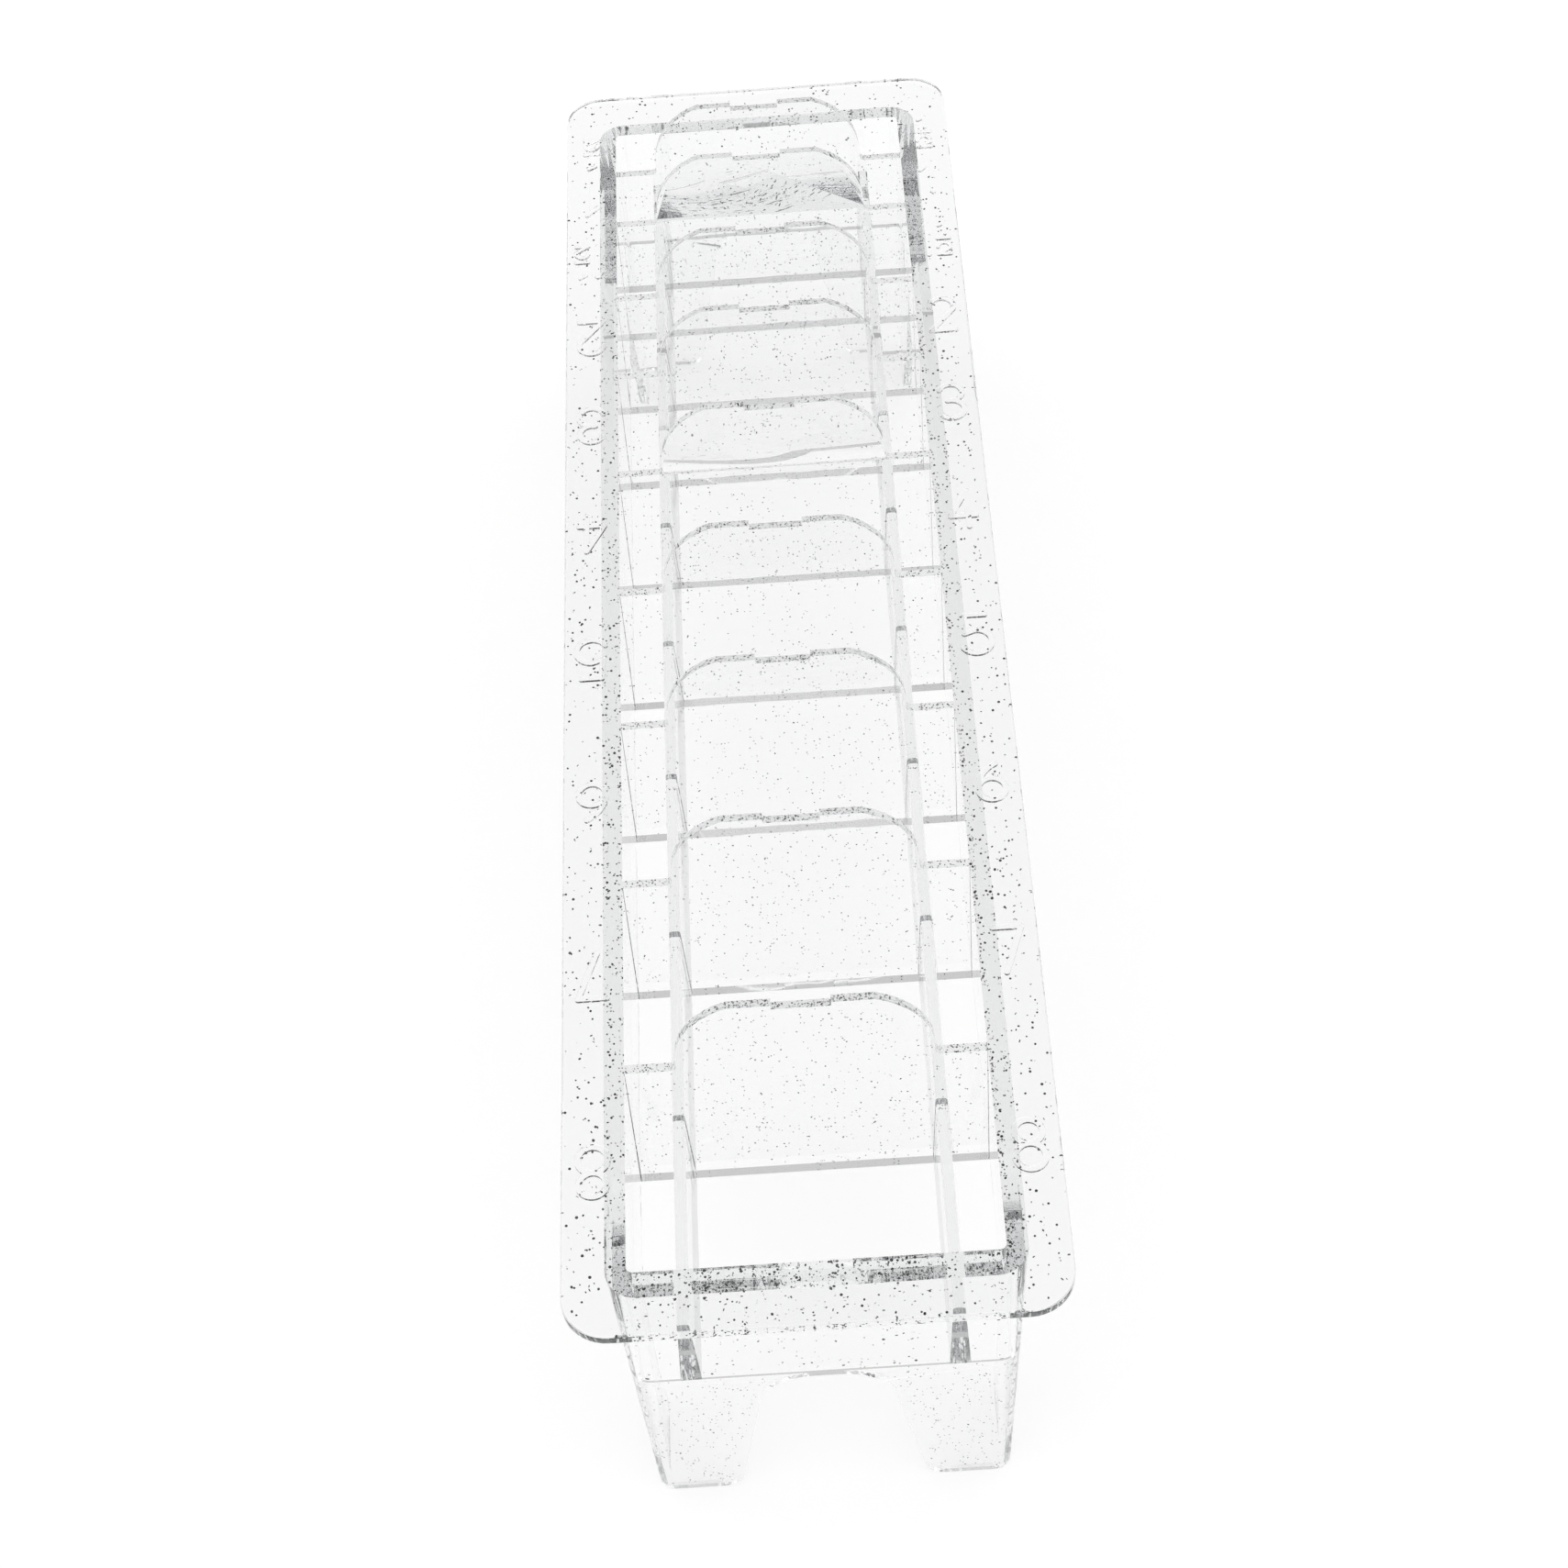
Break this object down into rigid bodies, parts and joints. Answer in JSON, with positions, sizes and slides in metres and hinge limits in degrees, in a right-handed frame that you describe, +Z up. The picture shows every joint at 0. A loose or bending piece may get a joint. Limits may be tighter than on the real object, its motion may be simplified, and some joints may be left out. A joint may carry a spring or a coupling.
{
  "type": "clipper guard organiser tray",
  "caption": "Clear plastic organiser tray on corner feet, with open pockets in a row that hold hair clipper guards in size order behind raised clip tabs.",
  "frame": {"origin": "centre of the footprint, on the surface the feet stand on", "axes": "+Z up; +Y along the tray from the near end, with the largest pocket, to the far end, with the smallest; +X to the right"},
  "size_m": [0.074, 0.2792, 0.0798],
  "materials": {
    "clear_plastic": "gloss"
  },
  "bodies": {
    "root": {"flange": "clear_plastic", "left_side_wall": "clear_plastic", "right_side_wall": "clear_plastic", "near_end_wall": "clear_plastic", "far_end_wall": "clear_plastic", "near_left_foot": "clear_plastic", "near_right_foot": "clear_plastic", "far_left_foot": "clear_plastic", "far_right_foot": "clear_plastic", "divider_8_7": "clear_plastic", "divider_7_6": "clear_plastic", "divider_6_5": "clear_plastic", "divider_5_4": "clear_plastic", "divider_4_3": "clear_plastic", "divider_3_2": "clear_plastic", "divider_2_1h": "clear_plastic", "divider_1h_1": "clear_plastic", "divider_1_h": "clear_plastic", "ribs_8": "clear_plastic", "ribs_7": "clear_plastic", "ribs_6": "clear_plastic", "ribs_5": "clear_plastic", "ribs_4": "clear_plastic", "ribs_3": "clear_plastic", "ribs_2": "clear_plastic", "ribs_1h": "clear_plastic", "ribs_1": "clear_plastic", "ribs_h": "clear_plastic", "numerals_8": "clear_plastic", "numerals_7": "clear_plastic", "numerals_6": "clear_plastic", "numerals_5": "clear_plastic", "numerals_4": "clear_plastic", "numerals_3": "clear_plastic", "numerals_2": "clear_plastic", "numerals_1h": "clear_plastic", "numerals_1": "clear_plastic", "numerals_h": "clear_plastic"}
  },
  "joints": []
}
